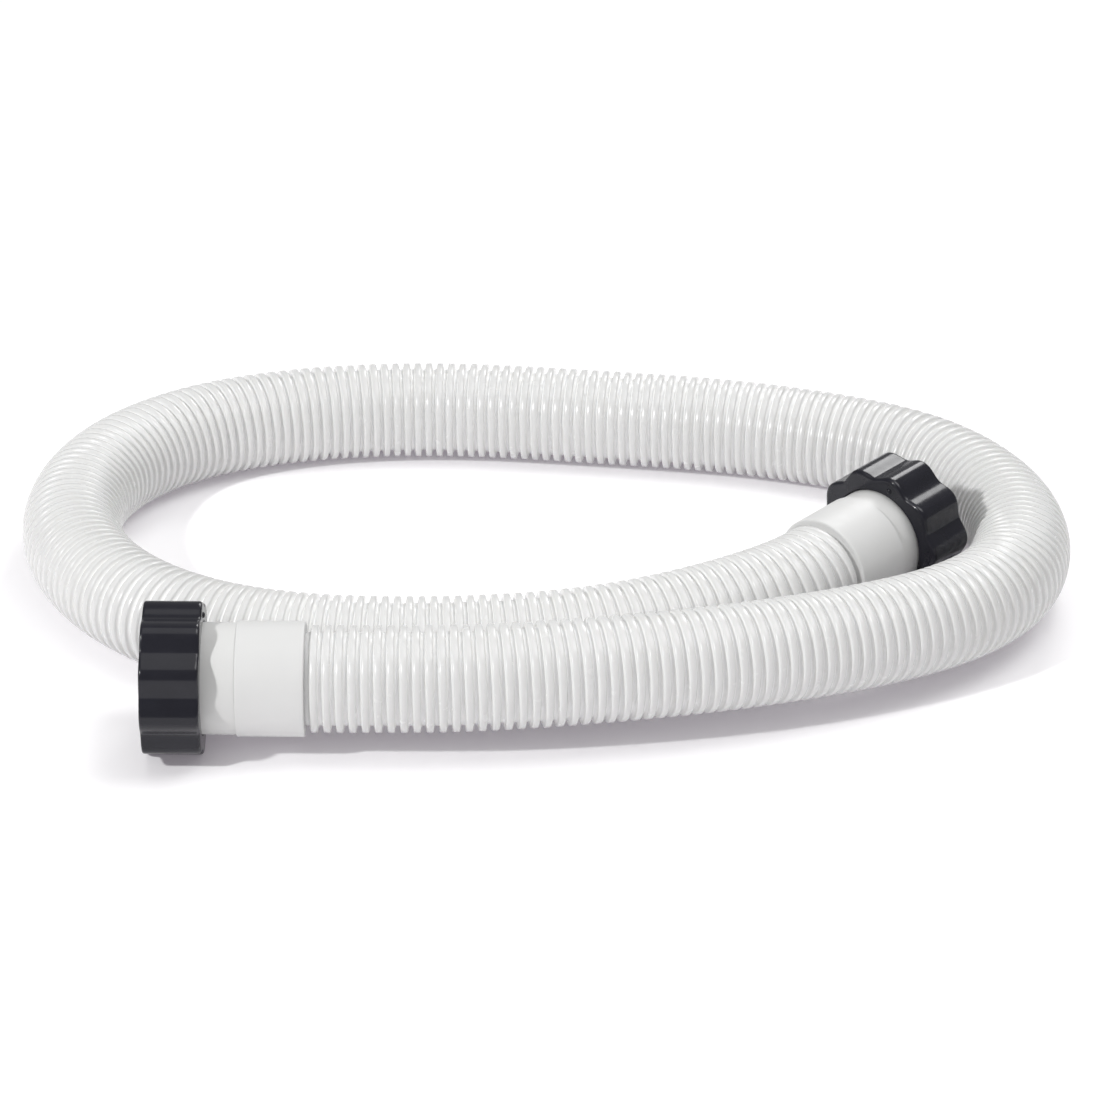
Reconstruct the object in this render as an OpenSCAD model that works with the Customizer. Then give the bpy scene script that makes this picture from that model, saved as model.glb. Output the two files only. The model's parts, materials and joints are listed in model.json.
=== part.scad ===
// Corrugated pool hose with a threaded union nut on each end.
// It lies on the ground in one loop, with both ends pointing out of the loop's run.
// Units are millimetres. +Z is up, and the ground is at Z = 0.

/* [Hose] */
// Outside diameter over the ribs
hose_d = 45; // [42:0.5:46]
// Wall of the plain tube, which weighs what the thin corrugated wall weighs
hose_wall = 1.4; // [1:0.1:3]
// Rings of the tube for each stretch of the route
rings_per_span = 3; // [2:1:3]

/* [Cuff] */
// Outside diameter of the smooth sleeve that is bonded on the hose's end
cuff_d = 48.4; // [47.5:0.1:50]
// Length of the sleeve
cuff_l = 28.5; // [26:0.5:32]
// Water bore of the sleeve, behind the tailpiece
cuff_bore_d = 38; // [36:0.5:40]

/* [Tailpiece] */
// Outside diameter of the collar that the nut turns on
collar_d = 46.9; // [46:0.1:47]
// Length of the collar, from the sleeve to the flange
collar_l = 17.1; // [16:0.1:20]
// Diameter of the spigot inside the sleeve
spigot_d = 42; // [40:0.5:43]
// Length of the spigot inside the sleeve
spigot_l = 20.5; // [15:0.5:24]
// Diameter of the flange that the nut pulls on
flange_d = 54.5; // [52:0.5:55]
// Thickness of the flange
flange_t = 3; // [2:0.5:3.5]
// Water bore of the tailpiece
tail_bore_d = 37; // [34:0.5:38]

/* [Union nut] */
// Diameter over the grip lobes
nut_d = 66; // [65.5:0.5:68]
// Length of the nut
nut_l = 24.6; // [24:0.2:26]
// Number of grip lobes
lobes = 10; // [8:1:12]
// Radius of one lobe's rounded top
lobe_r = 8; // [6:0.5:9]
// Height of a lobe above the hollow between two lobes
lobe_h = 3; // [2:0.2:3]
// Diameter of the hole in the nut's rear lip
lip_hole_d = 47.9; // [47.6:0.1:48.2]
// Thickness of the rear lip
lip_t = 3; // [2:0.5:3.5]
// Thread's inside diameter
thread_d = 56; // [55.5:0.1:56.5]
// Length of the thread, which ends just inside the mouth
thread_l = 11.6; // [8:0.1:12]
// Diameter of the plain turn behind the thread and of the mouth's lead-in
relief_d = 57.2; // [57:0.1:57.6]
// Depth of the mouth's lead-in
mouth_l = 1; // [0.5:0.5:1.5]

/* [Face seal] */
// Thickness of the rubber washer on the flange
seal_t = 2; // [1:0.5:2]
// Outside diameter of the washer
seal_d = 53.5; // [50:0.5:54.5]
// Hole of the washer
seal_hole_d = 40; // [38:0.5:44]

/* [Lay] */
// Heading of end A, in degrees from +X
heading_a = 181; // [180:0.5:182]
// Heading of end B, in degrees from +X
heading_b = 48; // [47:0.5:49]
// How far end A's mouth tilts up, in degrees
tilt_a = 0; // [0:0.5:1]
// How far end B's mouth tilts up, in degrees
tilt_b = 2; // [1:0.5:3]
// How far nut B has slid back from its flange
nut_b_slack = 4.1; // [0:0.1:4.1]

/* [Hidden] */
$fn = 96;

hose_r = hose_d / 2;
flange_x = cuff_l + collar_l;
seal_x = flange_x + flange_t;
// A nut at the front of its travel stands a hair behind the flange.
nut_gap = 0.1;
nut_a_x = flange_x - nut_gap - lip_t;
nut_b_x = nut_a_x + nut_gap - nut_b_slack;
// Each nut stands on the lobe that is nearly under its axis, this many degrees to one side.
lobe_lean = 13;
lobe_reach = (nut_d / 2 - lobe_r) * cos(lobe_lean) + lobe_r;

// Where the hose enters each cuff. A tilted end rests on its nut's rear edge.
function end_height(tilt, nut_x) = lobe_reach * cos(tilt) - nut_x * sin(tilt);
end_a = [-110, -71, end_height(tilt_a, nut_a_x)];
end_b = [111, 35.5, end_height(tilt_b, nut_b_x)];
// Straight lead of the route behind each cuff
lead_a = 55;
lead_b = 28;

// The route's control points between the two leads: X, Y and how far the hose is lifted
// off the ground. The front run rises to nut A's height, and the rest lies on the ground.
ROUTE = [
    [-14, -67, 11], [66, -52, 11.5], [131, -24, 9], [172, 3, 6.5], [202, 44, 4],
    [206, 108, 1], [176, 165, 0], [125, 188, 0], [71, 203, 0], [9, 209, 0],
    [-57, 217, 0], [-125, 210, 0], [-183, 187, 0], [-222, 141, 0], [-230, 82, 0],
    [-211, 31, 0], [-172, -8, 0], [-117, -27, 0], [-44, -26, 0], [26, -16, 2]
];

function heading(deg, tilt) = [cos(deg) * cos(tilt), sin(deg) * cos(tilt), sin(tilt)];
dir_a = heading(heading_a, tilt_a);
dir_b = heading(heading_b, tilt_b);

// Three points in line at each end make the curve start at the cuff's face, square to it.
CONTROL = concat(
    [for (k = [1, 0, -1]) end_a + k * lead_a * dir_a],
    [for (p = ROUTE) p + [0, 0, hose_r]],
    [for (k = [-1, 0, 1]) end_b + k * lead_b * dir_b]
);

// Cubic B-spline through one stretch of four control points
function blend(a, b, c, d, u) =
    ((1 - u) ^ 3 * a + (3 * u ^ 3 - 6 * u ^ 2 + 4) * b
    + (3 * u * (1 + u - u ^ 2) + 1) * c + u ^ 3 * d) / 6;
function route_at(t) =
    let (i = min(floor(t), len(CONTROL) - 4), p = CONTROL)
    blend(p[i], p[i + 1], p[i + 2], p[i + 3], t - i);

function unit(v) = v / norm(v);
span_count = len(CONTROL) - 3;
ring_count = span_count * rings_per_span + 1;
CENTRES = [for (k = [0:ring_count - 1]) route_at(k / rings_per_span)];
function tangent(k) =
    k == 0 ? -dir_a
    : k == ring_count - 1 ? dir_b
    : unit(CENTRES[k + 1] - CENTRES[k - 1]);

tube_sides = 12;
function ring(k, radius) =
    let (t = tangent(k), side = unit(cross(t, [0, 0, 1])), up = cross(side, t))
    [for (j = [0:tube_sides - 1])
        let (a = j * 360 / tube_sides) CENTRES[k] + radius * (cos(a) * side + sin(a) * up)];
// Two triangles between ring k and ring k + 1; skin 0 is the outer surface, 1 the bore.
function skin_faces(skin, k, j) =
    let (
        base = skin * ring_count * tube_sides,
        n = (j + 1) % tube_sides,
        a = base + k * tube_sides + j, b = base + k * tube_sides + n,
        c = a + tube_sides, d = b + tube_sides
    )
    skin == 0 ? [[a, c, b], [b, c, d]] : [[a, b, c], [b, d, c]];
function cap_faces(k, flip, j) =
    let (
        n = (j + 1) % tube_sides,
        o = k * tube_sides, i = (ring_count + k) * tube_sides,
        a = o + j, b = o + n, c = i + j, d = i + n
    )
    flip ? [[a, c, b], [b, c, d]] : [[a, b, c], [b, d, c]];

module hose_tube() {
    last = ring_count - 1;
    points = [for (radius = [hose_r, hose_r - hose_wall], k = [0:last]) each ring(k, radius)];
    faces = [
        for (skin = [0, 1], k = [0:last - 1], j = [0:tube_sides - 1]) each skin_faces(skin, k, j),
        for (j = [0:tube_sides - 1]) each cap_faces(0, false, j),
        for (j = [0:tube_sides - 1]) each cap_faces(last, true, j)
    ];
    color("whitesmoke") polyhedron(points, faces);
}

// Puts a piece that is built along +X, from its cuff's hose end, on end A or end B.
module on_end_a() {
    translate(end_a) rotate([0, -tilt_a, heading_a]) children();
}
module on_end_b() {
    translate(end_b) rotate([0, -tilt_b, heading_b]) children();
}

module rod(d, x, l) {
    translate([x, 0, 0]) rotate([0, 90, 0]) cylinder(d = d, h = l);
}
// How far a cutting tool passes the face that it cuts through
pass = 1;

module cuff() {
    color("white") difference() {
        rod(cuff_d, 0, cuff_l);
        rod(cuff_bore_d, -pass, cuff_l + 2 * pass);
        rod(spigot_d, cuff_l - spigot_l, spigot_l + pass);
    }
}

module tailpiece() {
    color("ghostwhite") difference() {
        union() {
            rod(spigot_d, cuff_l - spigot_l, spigot_l + collar_l);
            rod(collar_d, cuff_l, collar_l);
            rod(flange_d, flange_x, flange_t);
        }
        rod(tail_bore_d, cuff_l - spigot_l - pass, spigot_l + collar_l + flange_t + 2 * pass);
    }
}

module nut_outline() {
    circle(d = nut_d - 2 * lobe_h);
    for (k = [0:lobes - 1])
        rotate(k * 360 / lobes) translate([nut_d / 2 - lobe_r, 0]) circle(r = lobe_r);
}

// Built from its rear face at x
module union_nut(x) {
    thread_x = x + nut_l - mouth_l - thread_l;
    color("dimgray") difference() {
        translate([x, 0, 0]) rotate([90, 0, 90]) linear_extrude(nut_l) rotate(90 + lobe_lean) nut_outline();
        rod(lip_hole_d, x - pass, lip_t + 2 * pass);
        rod(relief_d, x + lip_t, thread_x - x - lip_t);
        rod(thread_d, thread_x - pass, thread_l + 2 * pass);
        rod(relief_d, x + nut_l - mouth_l, mouth_l + pass);
    }
}

module face_seal() {
    color("black") difference() {
        rod(seal_d, seal_x, seal_t);
        rod(seal_hole_d, seal_x - pass, seal_t + 2 * pass);
    }
}

hose_tube();
on_end_a() cuff();  // cuff_a
on_end_b() cuff();  // cuff_b
on_end_a() tailpiece();  // tailpiece_a
on_end_b() tailpiece();  // tailpiece_b
on_end_a() union_nut(nut_a_x);  // union_nut_a
on_end_b() union_nut(nut_b_x);  // union_nut_b
on_end_a() face_seal();  // face_seal_a
on_end_b() face_seal();  // face_seal_b
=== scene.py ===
import json
import math

import bmesh
import bpy
import numpy as np
from mathutils import Matrix, Vector


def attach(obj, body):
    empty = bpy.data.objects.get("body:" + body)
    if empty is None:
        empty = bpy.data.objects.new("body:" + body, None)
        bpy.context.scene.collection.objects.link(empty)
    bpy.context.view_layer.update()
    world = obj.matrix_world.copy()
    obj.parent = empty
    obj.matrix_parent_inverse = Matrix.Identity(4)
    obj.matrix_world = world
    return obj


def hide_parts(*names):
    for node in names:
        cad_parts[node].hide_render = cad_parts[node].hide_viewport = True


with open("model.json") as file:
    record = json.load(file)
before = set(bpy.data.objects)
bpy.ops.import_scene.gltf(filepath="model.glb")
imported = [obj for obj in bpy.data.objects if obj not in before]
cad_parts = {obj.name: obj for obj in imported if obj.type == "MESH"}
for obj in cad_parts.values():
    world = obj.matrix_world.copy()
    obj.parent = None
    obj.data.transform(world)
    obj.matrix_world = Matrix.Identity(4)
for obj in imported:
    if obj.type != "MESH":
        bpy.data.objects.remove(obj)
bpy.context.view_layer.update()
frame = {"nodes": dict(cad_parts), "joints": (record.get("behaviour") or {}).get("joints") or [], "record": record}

# Pool connection hose with a union nut on each end, lying in one loop on a white floor.
# Metres, +Z up. The ends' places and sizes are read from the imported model.
MM = 0.001
NODES = frame["nodes"]
RECORD = frame["record"]
ENDS = ("a", "b")


# ---------------------------------------------------------------- camera

CAMERA_TARGET = Vector((-0.0091, 0.0732, 0.020))
CAMERA_DISTANCE = 1.7518
CAMERA_PITCH = math.radians(27.3)
CAMERA_ROLL = math.radians(0.85)
CAMERA_LENS_MM = 127.08
CAMERA_SENSOR_MM = 36


def add_camera():
    data = bpy.data.cameras.new("camera")
    data.sensor_width = CAMERA_SENSOR_MM
    data.lens = CAMERA_LENS_MM
    camera = bpy.data.objects.new("camera", data)
    bpy.context.collection.objects.link(camera)
    camera.matrix_world = (
        Matrix.Translation(CAMERA_TARGET)
        @ Matrix.Rotation(math.pi / 2 - CAMERA_PITCH, 4, "X")
        @ Matrix.Rotation(CAMERA_ROLL, 4, "Z")
        @ Matrix.Translation((0, 0, CAMERA_DISTANCE))
    )
    bpy.context.scene.camera = camera


# ---------------------------------------------------------------- where the ends are

def node_points(name, inverse):
    """A CAD node's vertices in the frame whose inverse matrix is given."""
    return np.array([inverse @ v.co for v in NODES[name].data.vertices])


def end_frame(letter):
    """An end's own frame: its origin is where the hose enters the cuff, +X is out of the mouth
    and +Z is up."""
    joint = next(j for j in frame["joints"] if j["child"] == "nut_" + letter)
    out = Vector(joint["axis"]).normalized()
    side = Vector((0, 0, 1)).cross(out).normalized()
    matrix = Matrix((out, side, out.cross(side))).transposed().to_4x4()
    matrix.translation = Vector(joint["pos_m"])
    start = node_points("cuff_" + letter, matrix.inverted())[:, 0].min()
    return matrix @ Matrix.Translation((start, 0, 0))


def extent(name, letter):
    """(start, end, outer radius) of a CAD node along the axis of its end."""
    points = node_points(name, END_FRAME[letter].inverted())
    return points[:, 0].min(), points[:, 0].max(), np.hypot(points[:, 1], points[:, 2]).max()


def mount_radius(name):
    mount = next(m for m in RECORD["mounts"] if m["name"] == name)
    return mount["dims"]["r_mm"] * MM


END_FRAME = {letter: end_frame(letter) for letter in ENDS}


# ---------------------------------------------------------------- meshes

def add_mesh(name, points, faces):
    mesh = bpy.data.meshes.new(name)
    mesh.from_pydata(np.asarray(points).tolist(), [], np.asarray(faces).tolist())
    mesh.polygons.foreach_set("use_smooth", np.ones(len(mesh.polygons), bool))
    mesh.update()
    piece = bpy.data.objects.new(name, mesh)
    bpy.context.collection.objects.link(piece)
    return piece


def wrap(rings, sides, closed):
    """Quads between rings of points, each ring's last point joined to its first."""
    k, j = np.meshgrid(np.arange(rings if closed else rings - 1), np.arange(sides), indexing="ij")
    k, j = k.ravel(), j.ravel()
    beside = (j + 1) % sides
    ring, next_ring = k * sides, (k + 1) % rings * sides
    return np.stack([ring + j, ring + beside, next_ring + beside, next_ring + j], 1)


ARC = np.linspace(0, 1, 5)[:, None]
# How far a support point stands from its corner, in arc reaches
SUPPORT = 1.4
# The most of a side that one corner's arc may take
MAX_ARC_SHARE = 0.3


def rounded(corners):
    """A closed outline with its corners rounded. A corner is its values and then its radius.
    A support point beyond each arc's ends keeps the flats between them flat when shaded."""
    values = np.array([c[:-1] for c in corners], float)
    points = []
    for i, corner in enumerate(values):
        before, after = values[i - 1] - corner, values[(i + 1) % len(values)] - corner
        lengths = [np.linalg.norm(v[:2]) for v in (before, after)]
        reach = min(corners[i][-1], MAX_ARC_SHARE * min(lengths))
        a, b = before / lengths[0] * reach, after / lengths[1] * reach
        arc = corner + (1 - ARC) ** 2 * a + ARC ** 2 * b
        points += [corner + SUPPORT * a, *arc, corner + SUPPORT * b]
    return np.array(points)


def around(x, radius, matrix):
    """Points of rings about +X, each from its top. x has a value a ring, and radius is a table
    of rings by sides."""
    angle = np.linspace(0, 2 * math.pi, radius.shape[1], endpoint=False)
    local = np.stack([
        np.broadcast_to(x[:, None], radius.shape),
        radius * np.sin(angle),
        radius * np.cos(angle),
    ], axis=-1).reshape(-1, 3)
    m = np.array(matrix)
    return local @ m[:3, :3].T + m[:3, 3]


TURNED_SIDES = 144


def add_turned(name, corners, matrix):
    """A turned piece from an outline of (x, radius, corner radius)."""
    outline = rounded(corners)
    radius = np.repeat(outline[:, 1:2], TURNED_SIDES, axis=1)
    faces = wrap(len(outline), TURNED_SIDES, True)[:, ::-1]
    return add_mesh(name, around(outline[:, 0], radius, matrix), faces)


def finish_piece(piece, body, node, material):
    piece.data.materials.append(material)
    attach(piece, body)
    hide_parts(node)
    return piece


# ---------------------------------------------------------------- materials

PLASTIC_IOR = 1.5
RIB_WHITE = (0.675, 0.675, 0.672)
# Painted glow: the grooves' colour is painted paler than the ribs' to stand for light that comes through the thin
# wall.
GROOVE_PAINTED_GLOW = (0.96, 0.96, 0.955)
CUFF_WHITE = (0.66, 0.66, 0.655)
TAILPIECE_WHITE = (0.66, 0.66, 0.652)
# The darkest that a moulded white's colour gets, as a share of the whole colour
MOULDED_SHADE = 0.975


def new_material(name):
    material = bpy.data.materials.new(name)
    material.use_nodes = True
    nodes = material.node_tree.nodes
    return material, nodes, material.node_tree.links, nodes["Principled BSDF"]


def set_inputs(shader, values):
    for key, value in values.items():
        shader.inputs[key].default_value = value


def noise(nodes, links, scale, detail=3.0):
    """A noise texture on the piece's own coordinates, with scale in cells a metre."""
    place = nodes.new("ShaderNodeTexCoord")
    texture = nodes.new("ShaderNodeTexNoise")
    set_inputs(texture, {"Scale": scale, "Detail": detail})
    links.new(place.outputs["Object"], texture.inputs["Vector"])
    return texture.outputs["Fac"]


def ramp(nodes, links, source, low, high, start=0.3, end=0.7):
    """source spread between two values, or two colours."""
    node = nodes.new("ShaderNodeValToRGB")
    for stop, position, value in zip(node.color_ramp.elements, (start, end), (low, high)):
        stop.position = position
        stop.color = (*value, 1) if hasattr(value, "__len__") else (value, value, value, 1)
    links.new(source, node.inputs["Fac"])
    return node.outputs["Color"]


def roughness(nodes, links, shader, scale, low, high):
    """Roughness that drifts between two values."""
    value = ramp(nodes, links, noise(nodes, links, scale), low, high)
    links.new(value, shader.inputs["Roughness"])


def bump(nodes, links, shader, source, strength, distance):
    """A bump on top of the bumps that the shader has."""
    node = nodes.new("ShaderNodeBump")
    set_inputs(node, {"Strength": strength, "Distance": distance})
    links.new(source, node.inputs["Height"])
    if shader.inputs["Normal"].is_linked:
        links.new(shader.inputs["Normal"].links[0].from_socket, node.inputs["Normal"])
    links.new(node.outputs["Normal"], shader.inputs["Normal"])


def hose_plastic():
    """Milky blown polyethylene. Its grooves are painted paler than its ribs, a painted glow that stands for the
    light coming through the thin wall there.
    """
    material, nodes, links, shader = new_material("hose_polyethylene")
    groove = nodes.new("ShaderNodeAttribute")
    groove.attribute_name = "groove"
    # Painted glow: the colour grows paler with the groove's depth, standing for light coming through the wall.
    tint = ramp(nodes, links, groove.outputs["Fac"], RIB_WHITE, GROOVE_PAINTED_GLOW, 0.0, 1.0)
    cloud = ramp(nodes, links, noise(nodes, links, 30), (0.985, 0.985, 0.98), (1, 1, 1))
    mix = nodes.new("ShaderNodeMix")
    mix.data_type = "RGBA"
    mix.blend_type = "MULTIPLY"
    mix.inputs["Factor"].default_value = 1
    links.new(tint, mix.inputs["A"])
    links.new(cloud, mix.inputs["B"])
    links.new(mix.outputs["Result"], shader.inputs["Base Color"])
    roughness(nodes, links, shader, 160, 0.20, 0.28)
    set_inputs(shader, {
        "IOR": PLASTIC_IOR,
        "Subsurface Weight": 0.4,
        "Subsurface Radius": (1.0, 0.97, 0.92),
        "Subsurface Scale": 0.8 * MM,
    })
    bump(nodes, links, shader, noise(nodes, links, 900), strength=0.02, distance=0.1 * MM)
    bump(nodes, links, shader, noise(nodes, links, 45, 1), strength=0.06, distance=0.5 * MM)
    return material


def white_plastic(name, colour, low, high):
    """Smooth moulded white plastic with faint waves: low and high are its roughness."""
    material, nodes, links, shader = new_material(name)
    shade = [MOULDED_SHADE * c for c in colour]
    tint = ramp(nodes, links, noise(nodes, links, 40), shade, colour)
    links.new(tint, shader.inputs["Base Color"])
    roughness(nodes, links, shader, 220, low, high)
    set_inputs(shader, {
        "IOR": PLASTIC_IOR,
        "Subsurface Weight": 0.15,
        "Subsurface Radius": (1.0, 0.95, 0.9),
        "Subsurface Scale": 1.5 * MM,
    })
    bump(nodes, links, shader, noise(nodes, links, 1100), strength=0.03, distance=0.1 * MM)
    bump(nodes, links, shader, noise(nodes, links, 35, 1), strength=0.08, distance=0.6 * MM)
    return material


def nut_plastic():
    """Charcoal moulded plastic with a thin gloss and a fine grain."""
    material, nodes, links, shader = new_material("nut_charcoal")
    dark, pale = (0.010, 0.010, 0.015), (0.013, 0.013, 0.019)
    tint = ramp(nodes, links, noise(nodes, links, 90), dark, pale)
    links.new(tint, shader.inputs["Base Color"])
    roughness(nodes, links, shader, 260, 0.19, 0.26)
    set_inputs(shader, {
        "IOR": PLASTIC_IOR,
        "Specular IOR Level": 0.24,
        "Coat Weight": 0.2,
        "Coat Roughness": 0.08,
    })
    bump(nodes, links, shader, noise(nodes, links, 1800), strength=0.05, distance=0.1 * MM)
    bump(nodes, links, shader, noise(nodes, links, 140, 2), strength=0.08, distance=0.4 * MM)
    return material


def seal_rubber():
    """Matte black rubber."""
    material, nodes, links, shader = new_material("seal_black_rubber")
    dark, pale = (0.016, 0.016, 0.016), (0.03, 0.03, 0.03)
    tint = ramp(nodes, links, noise(nodes, links, 300), dark, pale)
    links.new(tint, shader.inputs["Base Color"])
    roughness(nodes, links, shader, 500, 0.55, 0.75)
    bump(nodes, links, shader, noise(nodes, links, 1500), strength=0.3, distance=0.2 * MM)
    return material


# ---------------------------------------------------------------- hose

HOSE_RADIUS = 22.5 * MM
BORE_RADIUS = 19.0 * MM
GROOVE_DEPTH = 3.0 * MM
RIB_PITCH = 5.3 * MM
# The groove beside each cuff is this much wider than the others.
END_GROOVE = 1.2 * MM
# One rib's points: (share of the pitch, share of the groove's depth)
RIB = (
    (0.0, 1.0), (0.15, 0.93), (0.205, 0.33), (0.245, 0.10), (0.315, 0.01),
    (0.685, 0.01), (0.755, 0.10), (0.795, 0.33), (0.85, 0.93),
)
HOSE_SIDES = 40
# Distance between the bore's rings
BORE_STEP = 15 * MM
# Straight lead of the hose's route behind each cuff
LEAD_A = 55 * MM
LEAD_B = 28 * MM
# The hose's route between the two leads: X, Y and how far the hose is lifted off the ground
ROUTE = (
    (-0.014, -0.067, 0.011), (0.066, -0.052, 0.0115), (0.131, -0.024, 0.009),
    (0.172, 0.003, 0.0065), (0.202, 0.044, 0.004), (0.206, 0.108, 0.001), (0.176, 0.165, 0),
    (0.125, 0.188, 0), (0.071, 0.203, 0), (0.009, 0.209, 0), (-0.057, 0.217, 0),
    (-0.125, 0.210, 0), (-0.183, 0.187, 0), (-0.222, 0.141, 0), (-0.230, 0.082, 0),
    (-0.211, 0.031, 0), (-0.172, -0.008, 0), (-0.117, -0.027, 0), (-0.044, -0.026, 0),
    (0.026, -0.016, 0.002),
)
SAMPLES_PER_SPAN = 60


def lead_points(letter, reaches):
    """Points on an end's axis, at the given distances from the hose's end."""
    return [END_FRAME[letter] @ Vector((reach, 0, 0)) for reach in reaches]


def hose_line():
    """The hose's centreline, a uniform cubic B-spline: distance along it, points and tangents."""
    control = np.array([
        *lead_points("a", (LEAD_A, 0, -LEAD_A)),
        *((x, y, HOSE_RADIUS + lift) for x, y, lift in ROUTE),
        *lead_points("b", (-LEAD_B, 0, LEAD_B)),
    ])
    u = np.linspace(0, 1, SAMPLES_PER_SPAN, endpoint=False)[:, None]
    weights = ((1 - u) ** 3, 3 * u**3 - 6 * u**2 + 4, 3 * u * (1 + u - u**2) + 1, u**3)
    spans = [
        sum(w * p for w, p in zip(weights, control[i:i + 4])) / 6 for i in range(len(control) - 3)
    ]
    points = np.vstack([*spans, END_FRAME["b"].translation])
    steps = np.linalg.norm(np.diff(points, axis=0), axis=1)
    tangents = np.gradient(points, axis=0)
    tangents /= np.linalg.norm(tangents, axis=1)[:, None]
    return np.concatenate([[0], np.cumsum(steps)]), points, tangents


def hose_rings(line, at, radius):
    """Rings of points square to the centreline at the given distances along it."""
    along, points, tangents = line
    centre = np.stack([np.interp(at, along, points[:, k]) for k in range(3)], 1)
    ahead = np.stack([np.interp(at, along, tangents[:, k]) for k in range(3)], 1)
    ahead /= np.linalg.norm(ahead, axis=1)[:, None]
    side = np.cross(ahead, (0, 0, 1))
    side /= np.linalg.norm(side, axis=1)[:, None]
    up = np.cross(side, ahead)
    angle = np.linspace(0, 2 * math.pi, HOSE_SIDES, endpoint=False)[None, :, None]
    spoke = np.cos(angle) * side[:, None] + np.sin(angle) * up[:, None]
    return (centre[:, None] + radius[:, None, None] * spoke).reshape(-1, 3)


def add_hose(material):
    """The ribbed skin and the bore inside it, joined by a flat ring at each end."""
    line = hose_line()
    length = line[0][-1]
    ribs = round((length - 2 * END_GROOVE) / RIB_PITCH)
    pitch = (length - 2 * END_GROOVE) / ribs
    share, depth = np.array(RIB).T
    at = END_GROOVE + ((np.arange(ribs)[:, None] + share) * pitch).ravel()
    at = np.concatenate([[0], at, [length - END_GROOVE, length]])
    depth = np.concatenate([[1], np.tile(depth, ribs), [1, 1]])
    bore_at = np.linspace(0, length, math.ceil(length / BORE_STEP))
    outer = hose_rings(line, at, HOSE_RADIUS - GROOVE_DEPTH * depth)
    bore = hose_rings(line, bore_at, np.full(len(bore_at), BORE_RADIUS))
    first_bore = len(outer)
    last_outer, last_bore = first_bore - HOSE_SIDES, first_bore + len(bore) - HOSE_SIDES
    j = np.arange(HOSE_SIDES)
    n = (j + 1) % HOSE_SIDES
    piece = add_mesh("hose_ribbed", np.vstack([outer, bore]), np.vstack([
        wrap(len(at), HOSE_SIDES, False),
        first_bore + wrap(len(bore_at), HOSE_SIDES, False)[:, ::-1],
        np.stack([j, first_bore + j, first_bore + n, n], 1),
        np.stack([last_outer + j, last_outer + n, last_bore + n, last_bore + j], 1),
    ]))
    # Each point's share of the groove's depth, which the hose material uses as the mask of its painted glow.
    groove = piece.data.attributes.new("groove", "FLOAT", "POINT")
    values = np.concatenate([np.repeat(depth, HOSE_SIDES), np.ones(len(bore))])
    groove.data.foreach_set("value", values.astype(np.float32))
    finish_piece(piece, "hose", "hose_tube", material)


# ---------------------------------------------------------------- cuffs, tailpieces and seals

SPIGOT_RADIUS = 21.0 * MM
COLLAR_RADIUS = 23.45 * MM
FLANGE_THICKNESS = 3.0 * MM
SEAL_HOLE_RADIUS = 20.0 * MM


def add_cuff(letter, material):
    start, end, radius = extent("cuff_" + letter, letter)
    spigot_start = extent("tailpiece_" + letter, letter)[0]
    piece = add_turned("cuff_sleeve_" + letter, (
        (start, radius, 0.9 * MM),
        (end, radius, 0.35 * MM),
        (end, SPIGOT_RADIUS, 0.3 * MM),
        (spigot_start, SPIGOT_RADIUS, 0.2 * MM),
        (spigot_start, BORE_RADIUS, 0.2 * MM),
        (start, BORE_RADIUS, 0.4 * MM),
    ), END_FRAME[letter])
    finish_piece(piece, "hose", "cuff_" + letter, material)


def add_tailpiece(letter, material):
    start, end, flange_radius = extent("tailpiece_" + letter, letter)
    cuff_end = extent("cuff_" + letter, letter)[1]
    flange_start = end - FLANGE_THICKNESS
    bore = mount_radius("waterway_a")
    piece = add_turned("tailpiece_moulded_" + letter, (
        (start, SPIGOT_RADIUS, 0.4 * MM),
        (cuff_end, SPIGOT_RADIUS, 0.1 * MM),
        (cuff_end, COLLAR_RADIUS, 0.2 * MM),
        (flange_start, COLLAR_RADIUS, 0.5 * MM),
        (flange_start, flange_radius, 0.4 * MM),
        (end, flange_radius, 0.4 * MM),
        (end, bore, 0.6 * MM),
        (start, bore, 0.5 * MM),
    ), END_FRAME[letter])
    finish_piece(piece, "hose", "tailpiece_" + letter, material)


def add_seal(letter, material):
    start, end, radius = extent("face_seal_" + letter, letter)
    piece = add_turned("seal_washer_" + letter, (
        (start, radius, 0.4 * MM),
        (end, radius, 0.4 * MM),
        (end, SEAL_HOLE_RADIUS, 0.4 * MM),
        (start, SEAL_HOLE_RADIUS, 0.4 * MM),
    ), END_FRAME[letter])
    finish_piece(piece, "hose", "face_seal_" + letter, material)


# ---------------------------------------------------------------- union nuts

LOBES = 10
# Degrees to one side of straight down at which a lobe stands
LOBE_LEAN = -13
LOBE_HEIGHT = 3.0 * MM
# Below 1, the lobes are broader than the hollows between them.
LOBE_BREADTH = 0.85
LIP_THICKNESS = 3.0 * MM
LIP_HOLE_RADIUS = 23.95 * MM
RELIEF_RADIUS = 28.6 * MM
MOUTH_DEPTH = 1.0 * MM
THREAD_LENGTH = 11.6 * MM
THREAD_PITCH = 3.6 * MM
THREAD_HEIGHT = 0.9 * MM
# How many thread heights a flank would fall in one pitch
THREAD_SLOPE = 6
# Half the crest's width, as a share of the pitch
THREAD_CREST = 0.15
THREAD_RINGS = 40
# Length over which the thread fades in at each end
THREAD_RUNOUT = 1.5 * MM
NUT_SIDES = 360
# The gate mark's distance from the nut's axis
GATE_REACH = 27.3 * MM
GATE_RADIUS = 1.3 * MM
# The mark's height over its radius
GATE_FLATNESS = 0.7


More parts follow.
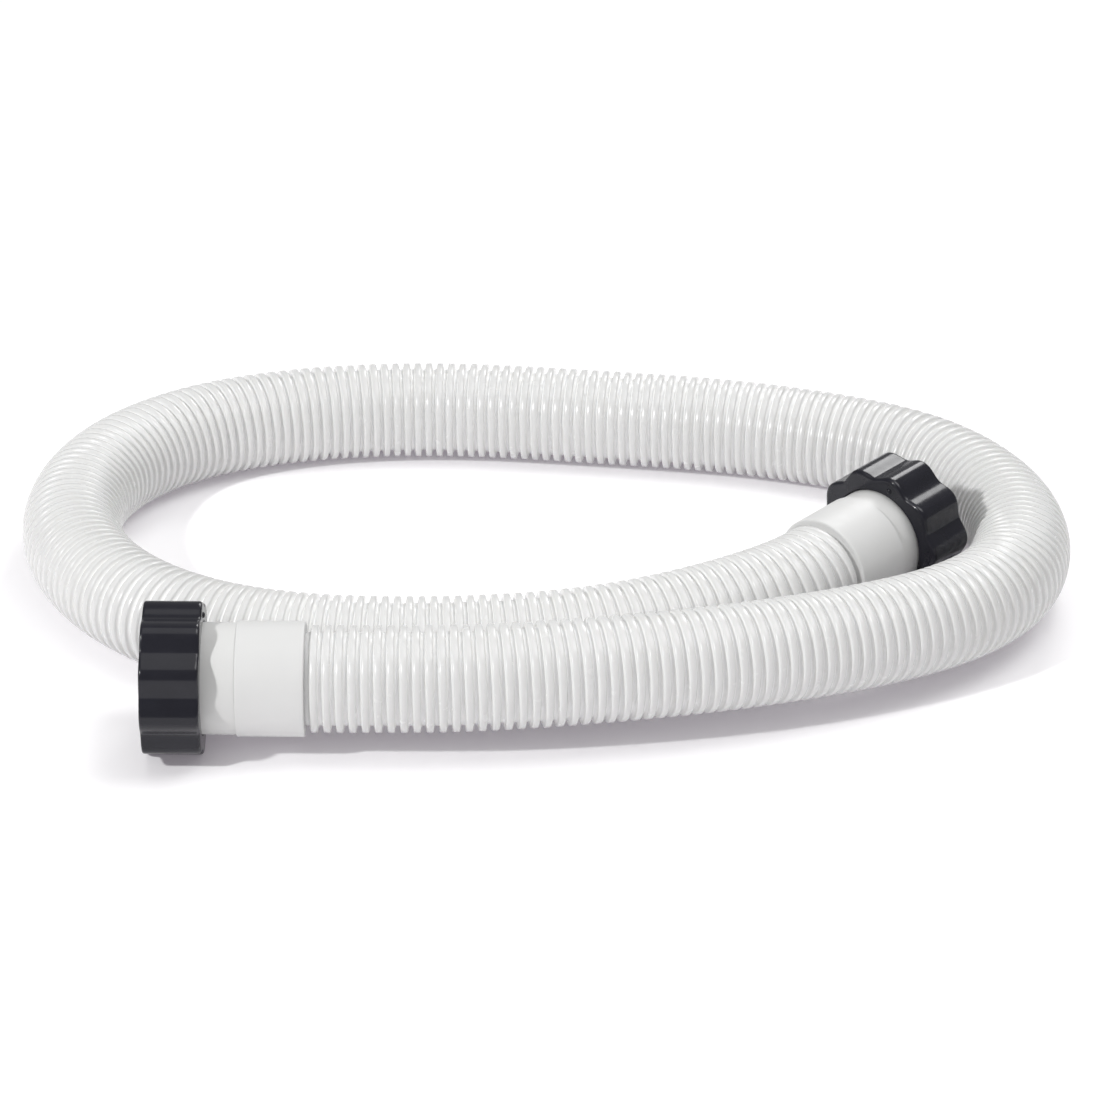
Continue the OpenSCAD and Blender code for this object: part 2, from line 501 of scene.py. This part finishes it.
def thread_depth(x, start, end, turn):
    """How far the thread lies outside its crest, at x along the axis and turn in whole turns."""
    phase = (x / THREAD_PITCH - turn) % 1
    flank = np.clip(THREAD_SLOPE * (np.abs(phase - 0.5) - THREAD_CREST), 0, 1)
    runout = np.clip(np.minimum(x - start, end - x) / THREAD_RUNOUT, 0, 1)
    return THREAD_HEIGHT * flank * runout


def add_gate_mark(piece, rear_face):
    """The low round mark of the mould's gate, on the rear face in line with a lobe."""
    lean = math.radians(LOBE_LEAN)
    place = Matrix.Translation((0, GATE_REACH * math.sin(lean), GATE_REACH * math.cos(lean)))
    mesh = bmesh.new()
    mesh.from_mesh(piece.data)
    bmesh.ops.create_icosphere(
        mesh, subdivisions=3, radius=GATE_RADIUS,
        matrix=rear_face @ place @ Matrix.Diagonal((GATE_FLATNESS, 1, 1, 1)),
    )
    for face in mesh.faces:
        face.smooth = True
    mesh.to_mesh(piece.data)
    mesh.free()


def add_nut(letter, material):
    """A nut with grip lobes outside and a rear lip, a thread and a mouth inside."""
    start, end, crest = extent("union_nut_" + letter, letter)
    thread_end = end - MOUTH_DEPTH
    thread_start = thread_end - THREAD_LENGTH
    thread_radius = mount_radius("thread_a")
    # A corner is (x, radius, share of the lobes' hollows, corner radius).
    outline = rounded((
        (start + LIP_THICKNESS, LIP_HOLE_RADIUS, 0, 0.3 * MM),
        (start, LIP_HOLE_RADIUS, 0, 0.5 * MM),
        (start, crest, 1, 1.8 * MM),
        (end, crest, 1, 1.2 * MM),
        (end, RELIEF_RADIUS, 0, 0.4 * MM),
        (thread_end, RELIEF_RADIUS, 0, 0.2 * MM),
        (thread_end, thread_radius, 0, 0.2 * MM),
        (thread_start, thread_radius, 0, 0.2 * MM),
        (thread_start, RELIEF_RADIUS, 0, 0.2 * MM),
        (start + LIP_THICKNESS, RELIEF_RADIUS, 0, 0.5 * MM),
    ))
    # The thread's rings go between its two end corners.
    split = np.flatnonzero(outline[:, 0] > thread_end - MM)[-1] + 1
    thread_x = np.linspace(thread_end, thread_start, THREAD_RINGS + 2)[1:-1]
    thread = np.stack([thread_x, np.full(THREAD_RINGS, thread_radius), np.zeros(THREAD_RINGS)], 1)
    outline = np.vstack([outline[:split], thread, outline[split:]])
    turn = np.linspace(0, 1, NUT_SIDES, endpoint=False)
    turn_of_lobe = 0.5 + LOBE_LEAN / 360
    ripple = (1 + np.cos(2 * math.pi * LOBES * (turn - turn_of_lobe))) / 2
    hollow = LOBE_HEIGHT * (1 - ripple**LOBE_BREADTH)
    radius = outline[:, 1:2] - outline[:, 2:3] * hollow
    inside = (outline[:, 0] < thread_end) & (outline[:, 0] > thread_start)
    inside &= np.isclose(outline[:, 1], thread_radius)
    depth = thread_depth(outline[:, 0:1], thread_start, thread_end, turn)
    radius = radius + inside[:, None] * depth
    points = around(outline[:, 0], radius, END_FRAME[letter])
    piece = add_mesh("nut_lobed_" + letter, points, wrap(len(outline), NUT_SIDES, True))
    add_gate_mark(piece, END_FRAME[letter] @ Matrix.Translation((start, 0, 0)))
    finish_piece(piece, "nut_" + letter, "union_nut_" + letter, material)


# ---------------------------------------------------------------- floor and light

FLOOR_SIZE = 12
WORLD_STRENGTH = 0.32
# Name, direction, distance from the target, size and power of each light
LIGHTS = (
    ("key", (1.0, 0.88, -1.0), 2.2, 0.12, 26),
    ("overhead", (0.0, 0.1, -1.0), 1.6, 1.2, 4.5),
    ("right", (-0.5, 0.05, -1.0), 1.7, 0.9, 10),
    ("back", (-0.25, -0.73, -0.64), 1.8, 0.6, 8.5),
)


def add_floor():
    """A white floor that glows a little, which keeps its shadows pale."""
    bpy.ops.mesh.primitive_plane_add(size=FLOOR_SIZE, location=(0, 0, 0))
    floor = bpy.context.object
    floor.name = "floor"
    material, _, _, shader = new_material("floor_white")
    set_inputs(shader, {
        "Base Color": (0.9, 0.9, 0.9, 1),
        "Roughness": 0.9,
        "Specular IOR Level": 0.1,
        "Emission Color": (1.0, 0.91, 1.03, 1),
        "Emission Strength": 0.14,
    })
    floor.data.materials.append(material)


def add_area_light(name, direction, distance, size, power):
    """A square light that shines along direction at the camera's target."""
    data = bpy.data.lights.new(name, "AREA")
    data.size = size
    data.energy = power
    light = bpy.data.objects.new(name, data)
    bpy.context.collection.objects.link(light)
    direction = Vector(direction).normalized()
    light.location = CAMERA_TARGET - direction * distance
    light.rotation_euler = direction.to_track_quat("-Z", "Y").to_euler()


def add_lights():
    world = bpy.data.worlds.new("studio")
    world.use_nodes = True
    set_inputs(world.node_tree.nodes["Background"], {
        "Color": (1, 1, 1, 1),
        "Strength": WORLD_STRENGTH,
    })
    bpy.context.scene.world = world
    for light in LIGHTS:
        add_area_light(*light)
    bpy.context.scene.view_settings.view_transform = "Standard"


# ---------------------------------------------------------------- the model

add_camera()
add_hose(hose_plastic())
cuff_material = white_plastic("cuff_polyethylene", CUFF_WHITE, 0.42, 0.52)
tailpiece_material = white_plastic("tailpiece_white", TAILPIECE_WHITE, 0.36, 0.46)
nut_material = nut_plastic()
seal_material = seal_rubber()
for letter in ENDS:
    add_cuff(letter, cuff_material)
    add_tailpiece(letter, tailpiece_material)
    add_seal(letter, seal_material)
    add_nut(letter, nut_material)
add_floor()
add_lights()
